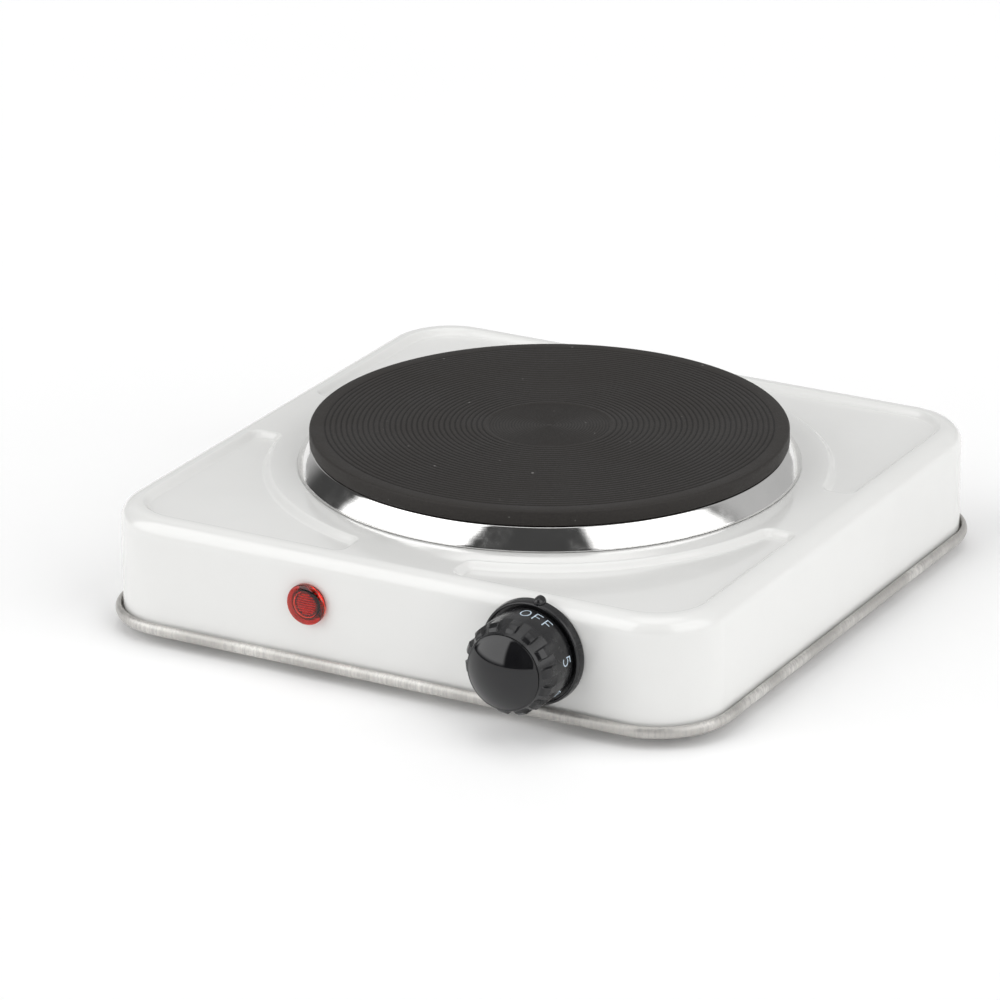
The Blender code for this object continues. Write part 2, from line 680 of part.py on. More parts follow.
def make_inlet(root):
    """The cord gland in the rear wall, and what holds and joins a cord inside."""
    wall = SHELL_WALL
    gland = [(0.0036, -0.0065), (0.0055, -0.0065), (0.0080, -wall - 0.0028), (0.0080, -wall - GAP)]
    gland += [(0.0061, -wall - GAP), (0.0061, GAP), (0.0080, GAP), (0.0078, 0.0026)]
    gland += [(0.0056, GLAND_REACH), (0.0036, GLAND_REACH)]
    gland_at = (GLAND_X, SHELL_HALF, GLAND_Z)
    add("cord_gland", turned(gland, 24), BLACK_SATIN, root, gland_at, TO_REAR)
    low = TRAY_TOP + GAP
    half, foot, arch, inner = 0.014, 0.0022, 0.0105, 0.0060
    outer = inner + 0.002
    under = [(half, 0), (inner, 0), (inner, arch - foot)]
    over = [(outer, arch), (outer, foot), (half, foot)]
    half_way = under + [(-x, z) for x, z in reversed(under)]
    saddle = half_way + [(-x, z) for x, z in reversed(over)] + over
    bent = placed(prism(saddle, -0.004, 0.004), matrix=UPRIGHT)
    clamp = add("cord_clamp", bent, BLACK_SATIN, root, (GLAND_X, CLAMP_Y, low))
    screw = [(0, 0.0042), (0.0024, 0.0038), (0.0024, foot + GAP), (0.0013, foot + GAP), (0.0013, 0)]
    screw += [(0, 0)]
    for side, x in (("left", GLAND_X - CLAMP_SCREW), ("right", GLAND_X + CLAMP_SCREW)):
        drill = cylinder(0.0017, -0.001, 0.004, 12)
        boolean(clamp, helper("clamp_hole_" + side, drill, root, (x, CLAMP_Y, low)))
        add("clamp_screw_" + side, turned(screw, 10), STEEL, root, (x, CLAMP_Y, low))
    add("terminal_block", box((0.034, 0.014, 0.012), (*BLOCK_AT, low + 0.006)), CERAMIC, root)
    tag = [(-0.004, -0.004), (0.004, -0.004), (0.004, 0.012), (-0.004, 0.012)]
    earth = add("earth_tag", prism(tag, low, low + 0.0008), BRASS, root, (*EARTH_AT, 0))
    boolean(earth, helper("tag_hole", cylinder(HOLE, 0, 0.01, 12), root, (*EARTH_AT, 0)))
    top = low + 0.0008 + GAP
    screw = [(0, top + 0.0020), (0.0030, top + 0.0016), (0.0034, top), (0.0017, top), (0.0017, 0.0022)]
    screw += [(0, 0.0020)]
    add("earth_screw", turned(screw, 10), STEEL, root, (*EARTH_AT, 0))


def make_wiring(root):
    """Leads whose ends stop just short of what they are joined to."""
    tab_y = FRONT_Y - BLADE_ZS[0]
    bimetal_y = FRONT_Y - BLADE_ZS[1]
    near, far = BLOCK_AT[1] - 0.0070 - GAP, BLOCK_AT[1] + 0.0070 + GAP
    block_z = TRAY_TOP + 0.0065
    ends = CONTROL_Z + TAIL + 0.0015
    lead(
        "live_wire",
        [(0.040, near, block_z), (0.042, 0.030, 0.0080), (0.060, 0, 0.0070), (0.066, -0.050, 0.0075)]
        + [(0.062, tab_y, 0.0090), (DIAL_X + 0.0042, tab_y, ends)],
        LIVE_SLEEVE,
        root,
    )
    lead(
        "heater_wire",
        [(DIAL_X - 0.0042, bimetal_y, ends), (0.040, -0.080, 0.0080), (0.010, -0.045, 0.0075)]
        + [(-0.018, 0, 0.0080), (-0.018, 0.040, 0.0090)]
        + [(PIN_X, PIN_YS[1], 0.0130), (PIN_X, PIN_YS[1], 0.0204)],
        LIVE_SLEEVE,
        root,
    )
    lead(
        "neutral_wire",
        [(0.022, near, block_z), (0.020, 0.034, 0.0090), (0.010, 0.026, 0.0100)]
        + [(-0.002, 0.032, 0.0095), (PIN_X, PIN_YS[0], 0.0130), (PIN_X, PIN_YS[0], 0.0204)],
        NEUTRAL_SLEEVE,
        root,
    )
    lead(
        "earth_wire",
        [(0.030, far, block_z), (0.026, 0.075, 0.0080), (0.000, 0.088, 0.0070)]
        + [(-0.016, 0.094, 0.0065), (EARTH_AT[0], EARTH_AT[1] + 0.0088, 0.0068)],
        EARTH_SLEEVE,
        root,
    )
    back = FRONT_Y + 0.0192
    lead(
        "lamp_lead_live",
        [(LAMP_X + 0.002, back, CONTROL_Z), (LAMP_X + 0.003, -0.080, 0.023), (0.004, -0.076, 0.0170)]
        + [(0.026, -0.074, 0.0160), (0.045, bimetal_y + 0.008, 0.0150)],
        LIVE_SLEEVE,
        root,
        0.0008,
    )
    lead(
        "lamp_lead_neutral",
        [(LAMP_X - 0.002, back, CONTROL_Z), (-0.031, -0.079, 0.021), (-0.036, -0.040, 0.0075)]
        + [(-0.032, 0.020, 0.0070), (-0.022, 0.060, 0.0070), (0.000, 0.064, 0.0085)]
        + [(0.0115, 0.055, block_z)],
        NEUTRAL_SLEEVE,
        root,
        0.0008,
    )


def main():
    clear_scene()
    root = empty("housing_centre", (0, BODY_Y, 0))
    wall = (DIAL_X, FRONT_Y, CONTROL_Z)
    face = empty("dial_mount", wall, TO_FRONT, root)
    dial = empty("dial_axis", wall, TO_FRONT, root)
    pin = empty("pin_slide", wall, TO_FRONT, root)
    arm = empty("arm_root", (0, ARM_ROOT, BLADE_ZS[0]), parent=face)
    make_shell(root)
    make_base(root)
    make_feet(root)
    make_plate(root)
    make_heater(root)
    make_knob(dial)
    make_bezel(face)
    make_thermostat(face, pin, arm)
    make_lamp(root)
    make_inlet(root)
    make_wiring(root)


main()
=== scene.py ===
"""Looks for the hot plate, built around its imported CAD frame.

The frame gives every place and size: metres, +Z up, the front facing -Y. Pieces on the front wall are
drawn with +Z pointing out of the wall and are turned onto it by a matrix.
"""

import json
import math

import bmesh
import bpy
from mathutils import Matrix, Vector
from mathutils.geometry import delaunay_2d_cdt


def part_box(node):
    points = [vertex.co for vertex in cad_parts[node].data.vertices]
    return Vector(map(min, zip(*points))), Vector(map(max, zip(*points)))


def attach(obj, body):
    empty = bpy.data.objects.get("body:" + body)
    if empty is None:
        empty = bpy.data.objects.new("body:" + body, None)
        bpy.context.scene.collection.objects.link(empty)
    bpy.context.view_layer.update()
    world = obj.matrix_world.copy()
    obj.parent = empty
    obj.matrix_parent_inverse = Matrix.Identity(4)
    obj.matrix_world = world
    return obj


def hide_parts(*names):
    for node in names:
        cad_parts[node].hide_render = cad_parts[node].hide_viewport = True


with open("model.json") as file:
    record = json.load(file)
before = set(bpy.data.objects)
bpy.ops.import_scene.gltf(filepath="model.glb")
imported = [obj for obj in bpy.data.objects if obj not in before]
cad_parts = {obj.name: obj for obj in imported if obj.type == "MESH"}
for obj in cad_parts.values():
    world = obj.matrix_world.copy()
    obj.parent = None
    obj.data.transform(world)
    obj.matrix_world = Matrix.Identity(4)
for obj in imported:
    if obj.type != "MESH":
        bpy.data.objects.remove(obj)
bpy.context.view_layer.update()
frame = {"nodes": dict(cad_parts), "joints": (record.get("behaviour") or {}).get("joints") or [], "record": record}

MM = 0.001
SLOT_OF = {part["node"]: part["material_slot"] for part in frame["record"]["subparts"]}
JOINT = {joint["name"]: joint for joint in frame["joints"]}
CORNERS = ("front_left", "front_right", "rear_left", "rear_right")


def middle(node):
    low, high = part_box(node)
    return (low + high) / 2


# Places read from the frame.
BODY = middle("top_shell")
SHELL_LOW, SHELL_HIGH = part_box("top_shell")
TRAY_LOW, TRAY_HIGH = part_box("base_plate")
PLATE_LOW, PLATE_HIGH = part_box("hot_plate")
RING_LOW, RING_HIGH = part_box("trim_ring")
PLATE = middle("hot_plate")
DIAL = Vector(JOINT["knob_turn"]["pos_m"])
FRONT_Y = SHELL_LOW.y
REAR_Y = SHELL_HIGH.y
LAMP = Vector((middle("lamp_lens").x, FRONT_Y, middle("lamp_lens").z))
GLAND = Vector((middle("cord_gland").x, REAR_Y, middle("cord_gland").z))

OUT_OF_FRONT = Matrix.Rotation(math.radians(90), 4, "X")
OUT_OF_REAR = Matrix.Rotation(math.radians(-90), 4, "X")
ON_DIAL = Matrix.Translation(DIAL) @ OUT_OF_FRONT
ON_LAMP = Matrix.Translation(LAMP) @ OUT_OF_FRONT
ON_GLAND = Matrix.Translation(GLAND) @ OUT_OF_REAR

# Shell: plan and section, as pressed.
SHELL_HALF = (SHELL_HIGH.x - SHELL_LOW.x) / 2
SHELL_CORNER = 23 * MM
TOP_FILLET = 5.5 * MM
SHEET = 1 * MM
PANEL_EDGE = 99.4 * MM
PANEL_GAP = 19.2 * MM
PANEL_ARC = 90.5 * MM
PANEL_CORNER = 17 * MM
PANEL_TIP = 4 * MM
PANEL_DEPTH = 2 * MM
PANEL_SOFT = 0.5 * MM

# Plate: turned grooves, in mm from its middle. Each is deepest at its floor's distance from its start.
FINE_START, FINE_PITCH, FINE_FLOOR = 0.9, 1.0, 0.35
WIDE_START, WIDE_PITCH, WIDE_FLOOR = 21.2, 1.75, 0.5

# Dial: angles are clockwise from its top, seen from the front.
RIBS = 14
NOTCH_AT = 19.4
POINTER_AT = 8.0
SKIRT = 15.1 * MM
LETTER_MIDDLE = 7.3 * MM
BORE, BORE_END = 3.4 * MM, 15 * MM
SOCKET, SOCKET_FLOOR, KNOB_FRONT = 5.3 * MM, 17 * MM, 20 * MM
MARKS = (("OFF", 17.5), ("5", 82), ("4", 127), ("3", 173), ("2", 219), ("1", 265))

# Lamp: the bars of its window.
BAR_PITCH = 0.8 * MM


# ---- shapes --------------------------------------------------------------------------------------


def steps_of(start, end, count):
    return [start + (end - start) * i / (count - 1) for i in range(count)]


def arc(centre, radius, start_deg, end_deg, count):
    angles = [math.radians(a) for a in steps_of(start_deg, end_deg, count)]
    return [(centre[0] + radius * math.cos(a), centre[1] + radius * math.sin(a)) for a in angles]


def circle(radius, steps, centre=(0, 0)):
    return arc(centre, radius, 0, 360 * (steps - 1) / steps, steps)


def turned(profile, steps=96):
    """A profile of (radius, z) points spun about Z. Points at radius 0 become poles. A profile with
    no pole is a closed ring."""
    bm = bmesh.new()
    verts = [bm.verts.new((r, 0, z)) for r, z in profile]
    edges = [bm.edges.new(pair) for pair in zip(verts, verts[1:])]
    if profile[0][0] > 0:
        edges.append(bm.edges.new((verts[-1], verts[0])))
    geometry = verts + edges
    bmesh.ops.spin(
        bm, geom=geometry, cent=(0, 0, 0), axis=(0, 0, 1), angle=math.tau, steps=steps, use_merge=True
    )
    bmesh.ops.remove_doubles(bm, verts=bm.verts, dist=1e-6)
    return bm


def loft(bm, loops, closed=True):
    """Side walls between loops of the same length. It returns the loops as vertices."""
    rows = [[bm.verts.new(point) for point in loop] for loop in loops]
    for low, high in zip(rows, rows[1:]):
        for i in range(len(low) if closed else len(low) - 1):
            j = (i + 1) % len(low)
            bm.faces.new((low[i], low[j], high[j], high[i]))
    return rows


def cap(bm, outline, holes=()):
    """Triangles across a level outline of vertices, around any holes."""
    verts, borders = [], []
    for loop in (outline, *holes):
        borders.append(range(len(verts), len(verts) + len(loop)))
        verts += loop
    inside_with_holes = 2
    flat = [vert.co.xy for vert in verts]
    found = delaunay_2d_cdt(flat, [], borders, inside_with_holes, 1e-8)
    for face in found[2]:
        bm.faces.new([verts[found[3][i][0]] for i in face])


def fan(bm, row, centre):
    """A row closed to a point."""
    hub = bm.verts.new(centre)
    for i in range(len(row)):
        bm.faces.new((row[i], row[(i + 1) % len(row)], hub))


def rising(outline, z):
    return [(x, y, z) for x, y in outline]


def rounded_square(half, corner, steps=20):
    """A square outline with round corners about the housing's middle."""
    inner = half - corner
    points = []
    for turn, sx, sy in ((0, 1, 1), (90, -1, 1), (180, -1, -1), (270, 1, -1)):
        centre = (BODY.x + sx * inner, BODY.y + sy * inner)
        points += arc(centre, corner, turn, turn + 90, steps)
    return points


def softened(corners, steps):
    """A closed outline of (x, y, radius) corners, each rounded by its own radius."""
    points = []
    for i, (x, y, radius) in enumerate(corners):
        here = Vector((x, y))
        before = (Vector(corners[i - 1][:2]) - here).normalized()
        after = (Vector(corners[(i + 1) % len(corners)][:2]) - here).normalized()
        if radius <= 0:
            points.append(here)
            continue
        half = before.angle(after) / 2
        centre = here + (before + after).normalized() * radius / math.sin(half)
        start = here + before * radius / math.tan(half) - centre
        sweep = start.angle_signed(here + after * radius / math.tan(half) - centre)
        for step in range(steps + 1):
            points.append(centre + Matrix.Rotation(-sweep * step / steps, 2) @ start)
    return points


def smooth(t):
    t = min(1, max(0, t))
    return t * t * (3 - 2 * t)


# ---- pieces --------------------------------------------------------------------------------------


def mesh_object(name, bm, matrix=None):
    bmesh.ops.recalc_face_normals(bm, faces=bm.faces)
    mesh = bpy.data.meshes.new(name)
    bm.to_mesh(mesh)
    bm.free()
    if matrix:
        mesh.transform(matrix)
    made = bpy.data.objects.new(name, mesh)
    bpy.context.scene.collection.objects.link(made)
    return made


def cut(obj, cutters, operation="DIFFERENCE"):
    """Cuts or joins closed bmeshes and keeps the result as the object's own mesh."""
    helpers = []
    for bm, matrix in cutters:
        other = mesh_object("cutter", bm, matrix)
        modifier = obj.modifiers.new("cut", "BOOLEAN")
        modifier.operation = operation
        modifier.solver = "EXACT"
        modifier.object = other
        helpers.append(other)
    settle(obj)
    for other in helpers:
        bpy.data.objects.remove(other, do_unlink=True)


def settle(obj):
    """Applies the object's modifiers."""
    bpy.context.view_layer.update()
    evaluated = obj.evaluated_get(bpy.context.evaluated_depsgraph_get())
    mesh = bpy.data.meshes.new_from_object(evaluated)
    obj.modifiers.clear()
    obj.data = mesh


def finish(obj, slot, body="housing", stands_for=(), sharp=35, paint=None):
    """Shades a piece, paints it, and ties it to its body and to the CAD nodes it stands for."""
    mesh = obj.data
    mesh.shade_smooth()
    mesh.set_sharp_from_angle(angle=math.radians(sharp))
    mesh.materials.clear()
    mesh.materials.append(paint or PAINTS[slot])
    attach(obj, body)
    if stands_for:
        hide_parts(*stands_for)
    return obj


# ---- materials -----------------------------------------------------------------------------------


class Paint:
    """A Principled material that is built up node by node. Patterns use object coordinates, which
    are metres in the row frame."""

    def __init__(self, name, colour, roughness, metallic=0.0, **sockets):
        self.made = bpy.data.materials.new(name)
        self.made.use_nodes = True
        self.tree = self.made.node_tree
        self.shader = self.tree.nodes["Principled BSDF"]
        self.colour = colour
        self.set("Base Color", (*colour, 1))
        self.set("Roughness", roughness)
        self.set("Metallic", metallic)
        for socket, value in sockets.items():
            self.set(socket.replace("_", " "), value)
        self.place = self.tree.nodes.new("ShaderNodeTexCoord").outputs["Object"]

    def set(self, socket, value):
        self.shader.inputs[socket].default_value = value

    def node(self, kind, inputs=(), **settings):
        made = self.tree.nodes.new("ShaderNode" + kind)
        for setting, value in settings.items():
            setattr(made, setting, value)
        for key, value in dict(inputs).items():
            if isinstance(value, bpy.types.NodeSocket):
                self.tree.links.new(value, made.inputs[key])
            else:
                made.inputs[key].default_value = value
        return made

    def stretched(self, scale, centre=(0, 0, 0)):
        shift = [-s * c for s, c in zip(scale, centre)]
        inputs = {"Vector": self.place, "Scale": scale, "Location": shift}
        return self.node("Mapping", inputs).outputs["Vector"]

    def noise(self, scale, detail=3.0, roughness=0.5, stretch=None, place=None):
        """A number from 0 to 1 that wanders with a feature size of about 1 / scale metres."""
        place = place or (self.stretched(stretch) if stretch else self.place)
        inputs = {"Vector": place, "Scale": scale, "Detail": detail, "Roughness": roughness}
        return self.node("TexNoise", inputs).outputs["Fac"]

    def span(self, value, low, high, to_low=0.0, to_high=1.0):
        inputs = {"Value": value, "From Min": low, "From Max": high, "To Min": to_low, "To Max": to_high}
        return self.node("MapRange", inputs, interpolation_type="SMOOTHSTEP").outputs["Result"]

    def maths(self, operation, first, second=0.0):
        return self.node("Math", {0: first, 1: second}, operation=operation).outputs[0]

    def mix(self, share, first, second):
        as_colour = [(*c, 1) if isinstance(c, tuple) and len(c) == 3 else c for c in (first, second)]
        inputs = {0: share, 6: as_colour[0], 7: as_colour[1]}
        return self.node("Mix", inputs, data_type="RGBA").outputs[2]

    def link(self, value, socket):
        self.tree.links.new(value, self.shader.inputs[socket])

    def bump(self, height, distance, strength=1.0, over=None):
        inputs = {"Height": height, "Distance": distance, "Strength": strength}
        if over:
            inputs["Normal"] = over
        normal = self.node("Bump", inputs).outputs["Normal"]
        self.link(normal, "Normal")
        return normal

    def axis(self, name):
        return self.node("SeparateXYZ", {0: self.place}).outputs[name]

    def radius(self, centre):
        """Distance from a vertical line through centre."""
        flat = self.stretched((1, 1, 0), centre)
        return self.node("VectorMath", {0: flat}, operation="LENGTH").outputs["Value"]

    def mottle(self, scale, low, high, dark, light, stretch=None):
        share = self.span(self.noise(scale, 4, stretch=stretch), low, high)
        colour = self.mix(share, dark, light)
        self.link(colour, "Base Color")
        return colour

    def worn(self, scale, low, high, stretch=None):
        """Roughness that wanders between two values."""
        self.link(self.span(self.noise(scale, 3, stretch=stretch), 0.3, 0.7, low, high), "Roughness")


def enamel():
    paint = Paint("white_enamel", (0.80, 0.80, 0.785), 0.2, Coat_Weight=0.5, Coat_Roughness=0.06)
    paint.mottle(14, 0.3, 0.7, (0.79, 0.79, 0.775), (0.815, 0.815, 0.80))
    paint.worn(60, 0.16, 0.26)
    paint.bump(paint.noise(320, 2), 0.00004, 0.35)
    return paint.made


def galvanised():
    paint = Paint("galvanised_steel", (0.70, 0.69, 0.66), 0.4, 0.55)
    streaks = paint.noise(1, 3, 0.6, stretch=(1300, 1300, 70))
    patches = paint.noise(45, 3)
    tone = paint.mix(paint.span(patches, 0.35, 0.68), (0.50, 0.485, 0.46), (0.80, 0.785, 0.75))
    streaked = paint.mix(paint.span(streaks, 0.35, 0.65), (0.40, 0.39, 0.38), tone)
    paint.link(paint.mix(0.6, tone, streaked), "Base Color")
    paint.link(paint.span(streaks, 0.3, 0.7, 0.30, 0.52), "Roughness")
    paint.bump(streaks, 0.00012, 0.5)
    return paint.made


def stainless():
    paint = Paint("polished_stainless", (0.83, 0.82, 0.81), 0.09, 1.0)
    lines = paint.noise(1, 2, 0.5, stretch=(30, 30, 3500))
    smears = paint.noise(110, 5, 0.65)
    paint.mottle(40, 0.3, 0.7, (0.78, 0.775, 0.765), (0.86, 0.855, 0.845))
    paint.link(paint.span(smears, 0.42, 0.72, 0.06, 0.17), "Roughness")
    paint.bump(smears, 0.00006, 0.25, over=paint.bump(lines, 0.00002, 0.3))
    return paint.made


def painted_groove_shade(paint, away, start, pitch, floor, low, high):
    """Painted shade in the turned grooves: 1 on a groove's floor, where the colour is darkened to stand for shade.
    Lengths are in mm from the plate's middle.
    """
    turns = paint.maths("DIVIDE", paint.maths("SUBTRACT", away, start * MM), pitch * MM)
    off = paint.maths("ABSOLUTE", paint.maths("SUBTRACT", paint.maths("FRACT", turns), floor / pitch))
    past_low = paint.span(away, (low - 0.1) * MM, (low + 0.1) * MM)
    short_of_high = paint.span(away, (high + 0.1) * MM, (high - 0.1) * MM)
    within = paint.maths("MULTIPLY", past_low, short_of_high)
    return paint.maths("MULTIPLY", within, paint.span(off, 0.26, 0.10, 0.0, 0.62))


def cast_iron():
    paint = Paint("cast_iron", (0.020, 0.018, 0.0165), 0.6, 0.0, Specular_IOR_Level=0.3)
    grain = paint.noise(2600, 3, 0.7)
    blotches = paint.noise(26, 4, 0.6)
    specks = paint.node("TexVoronoi", {"Vector": paint.place, "Scale": 430.0, "Randomness": 1.0})
    chosen = paint.span(specks.outputs["Color"], 0.84, 0.93)
    dots = paint.maths("MULTIPLY", paint.span(specks.outputs["Distance"], 0.24, 0.10), chosen)
    base = paint.mix(paint.span(blotches, 0.3, 0.7), (0.016, 0.0138, 0.0125), (0.025, 0.022, 0.020))
    grain_and_groove_shade = paint.mix(paint.span(grain, 0.35, 0.7), base, (0.031, 0.0275, 0.025))
    away = paint.radius(PLATE)
    outer_groove_shade = painted_groove_shade(paint, away, WIDE_START, WIDE_PITCH, WIDE_FLOOR, 20.8, 73.4)
    inner_groove_shade = painted_groove_shade(paint, away, FINE_START, FINE_PITCH, FINE_FLOOR, 0.8, 19.8)
    # Painted shade: the colour turns almost black on the groove floors, standing for the shade inside the grooves.
    grain_and_groove_shade = paint.mix(paint.maths("MAXIMUM", outer_groove_shade, inner_groove_shade), grain_and_groove_shade, (0.004, 0.0035, 0.003))
    paint.link(paint.mix(paint.maths("MULTIPLY", dots, 0.5), grain_and_groove_shade, (0.32, 0.31, 0.30)), "Base Color")
    paint.link(paint.span(blotches, 0.3, 0.7, 0.50, 0.66), "Roughness")
    paint.bump(grain, 0.00010, 0.7, over=paint.bump(paint.noise(700, 3, 0.6), 0.00012, 0.5))
    return paint.made


def zinc():
    paint = Paint("zinc_plate", (0.58, 0.57, 0.55), 0.38, 1.0)
    paint.mottle(160, 0.35, 0.7, (0.46, 0.46, 0.45), (0.66, 0.65, 0.62))
    paint.worn(420, 0.28, 0.50)
    paint.bump(paint.noise(900, 3), 0.00005, 0.4)
    return paint.made


def brass():
    paint = Paint("brass", (0.70, 0.50, 0.23), 0.3, 1.0)
    paint.mottle(220, 0.3, 0.75, (0.52, 0.36, 0.16), (0.76, 0.57, 0.28))
    paint.worn(500, 0.25, 0.45)
    paint.bump(paint.noise(1100, 2), 0.00004, 0.4)
    return paint.made


def ceramic():
    paint = Paint("steatite", (0.80, 0.76, 0.67), 0.6)
    paint.mottle(260, 0.3, 0.7, (0.72, 0.68, 0.58), (0.86, 0.82, 0.74))
    paint.worn(700, 0.50, 0.72)
    paint.bump(paint.noise(1500, 4), 0.00012, 0.6)
    return paint.made


def black_satin():
    paint = Paint("satin_black_plastic", (0.022, 0.022, 0.023), 0.38)
    paint.mottle(90, 0.3, 0.7, (0.007, 0.007, 0.008), (0.013, 0.013, 0.014))
    paint.worn(240, 0.20, 0.30)
    paint.bump(paint.noise(1900, 2), 0.00004, 0.3)
    return paint.made


def black_gloss():
    paint = Paint("gloss_black_plastic", (0.006, 0.006, 0.007), 0.05, IOR=1.52)
    paint.mottle(120, 0.3, 0.7, (0.005, 0.005, 0.006), (0.009, 0.009, 0.010))
    paint.worn(300, 0.04, 0.09)
    paint.bump(paint.noise(90, 2), 0.00003, 0.2)
    return paint.made


def red_lens():
    paint = Paint("red_lens", (0.95, 0.075, 0.03), 0.04, Transmission_Weight=1.0, IOR=1.49)
    paint.mottle(300, 0.3, 0.7, (0.90, 0.055, 0.02), (0.98, 0.10, 0.045))
    paint.worn(500, 0.02, 0.07)
    paint.bump(paint.noise(260, 2), 0.00005, 0.25)
    return paint.made


def bulb_glass():
    paint = Paint("bulb_glass", (0.95, 0.90, 0.85), 0.03, Transmission_Weight=0.9, IOR=1.45)
    paint.mottle(300, 0.3, 0.7, (0.88, 0.80, 0.74), (0.97, 0.93, 0.90))
    paint.worn(400, 0.02, 0.10)
    return paint.made


def rubber():
    paint = Paint("rubber", (0.030, 0.030, 0.031), 0.75)
    paint.mottle(150, 0.3, 0.7, (0.022, 0.022, 0.023), (0.045, 0.044, 0.043))
    paint.worn(300, 0.62, 0.85)
    paint.bump(paint.noise(1300, 4), 0.00015, 0.6)
    return paint.made


def coil_alloy():
    paint = Paint("oxidised_sheath", (0.16, 0.15, 0.14), 0.5, 0.8)
    paint.mottle(180, 0.3, 0.7, (0.09, 0.085, 0.08), (0.24, 0.21, 0.18))
    paint.worn(400, 0.40, 0.65)
    paint.bump(paint.noise(1400, 3), 0.00006, 0.5)
    return paint.made


def sleeve(name, dark, light):
    """A braided lead: two waves crossing along its length."""
    paint = Paint(name, light, 0.7)
    plait = {"Vector": paint.place, "Scale": 420.0, "Distortion": 1.2}
    over = paint.node("TexWave", plait, bands_direction="DIAGONAL").outputs["Fac"]
    under = paint.node("TexWave", {**plait, "Scale": 520.0}, bands_direction="X").outputs["Fac"]
    weave = paint.maths("MULTIPLY", over, under)
    paint.link(paint.mix(weave, dark, light), "Base Color")
    paint.worn(800, 0.60, 0.85)
    paint.bump(weave, 0.00012, 0.8)
    return paint.made


def lettering():
    paint = Paint("lettering", (0.62, 0.74, 0.84), 0.5)
    paint.mottle(900, 0.3, 0.7, (0.52, 0.63, 0.73), (0.70, 0.82, 0.92))
    paint.worn(900, 0.40, 0.60)
    return paint.made


def window_red_gap_shade():
    """Bright level bars with painted shade in the gaps between them: the gaps are coloured near-black to stand for
    shade.
    """
    paint = Paint("window_red_gap_shade", (0.75, 0.05, 0.02), 0.35)
    below_window = 20
    rows = paint.maths("DIVIDE", paint.maths("SUBTRACT", paint.axis("Z"), LAMP.z), BAR_PITCH)
    turn = paint.maths("FRACT", paint.maths("ADD", rows, below_window + 0.5))
    off = paint.maths("ABSOLUTE", paint.maths("SUBTRACT", turn, 0.5))
    tone = paint.mix(paint.noise(400, 3), (0.80, 0.05, 0.02), (1.0, 0.10, 0.04))
    bar = paint.span(off, 0.34, 0.22)
    # Painted shade: between the bars the colour drops to a near-black red.
    paint.link(paint.mix(bar, (0.03, 0.001, 0.001), tone), "Base Color")
    paint.worn(500, 0.28, 0.45)
    return paint.made


PAINTS = {
    "enamel": enamel(),
    "galvanised": galvanised(),
    "stainless": stainless(),
    "cast_iron": cast_iron(),
    "steel": zinc(),
    "brass": brass(),
    "ceramic": ceramic(),
    "black_satin": black_satin(),
    "black_gloss": black_gloss(),
    "red_lens": red_lens(),
    "bulb_glass": bulb_glass(),
    "rubber": rubber(),
    "coil_alloy": coil_alloy(),
    "sleeve_brown": sleeve("brown_sleeve", (0.09, 0.035, 0.015), (0.26, 0.11, 0.05)),
    "sleeve_blue": sleeve("blue_sleeve", (0.02, 0.05, 0.18), (0.07, 0.16, 0.46)),
    "sleeve_green": sleeve("green_sleeve", (0.05, 0.20, 0.03), (0.45, 0.50, 0.06)),
}


INK = lettering()
WINDOW_GAP_SHADED = window_red_gap_shade()


def paint_frame():
    """The CAD nodes that stay take their slot's material."""
    for name, node in frame["nodes"].items():
        node.material_slots[0].material = PAINTS[SLOT_OF[name]]


# ---- housing -------------------------------------------------------------------------------------


def panel_outline(sx, sy, inset):
    """One recessed corner panel: two straight sides, a round corner, and an arc about the plate."""
    edge, gap, reach = PANEL_EDGE - inset, PANEL_GAP + inset, PANEL_ARC + inset
    rise = sy * (PLATE.y - BODY.y)
    low = math.asin((gap - rise) / reach)
    high = math.acos(gap / reach)
    tip = PANEL_TIP - inset
    corners = [(edge, gap, tip), (edge, edge, PANEL_CORNER - inset), (gap, edge, tip)]
    tip_angle = 1.35 * PANEL_TIP / reach
    for angle in (high, *steps_of(high - tip_angle, low + tip_angle, 32), low):
        rounding = tip if angle in (high, low) else 0
        corners.append((reach * math.cos(angle), rise + reach * math.sin(angle), rounding))
    return [(BODY.x + sx * x, BODY.y + sy * y) for x, y in softened(corners, 10)]


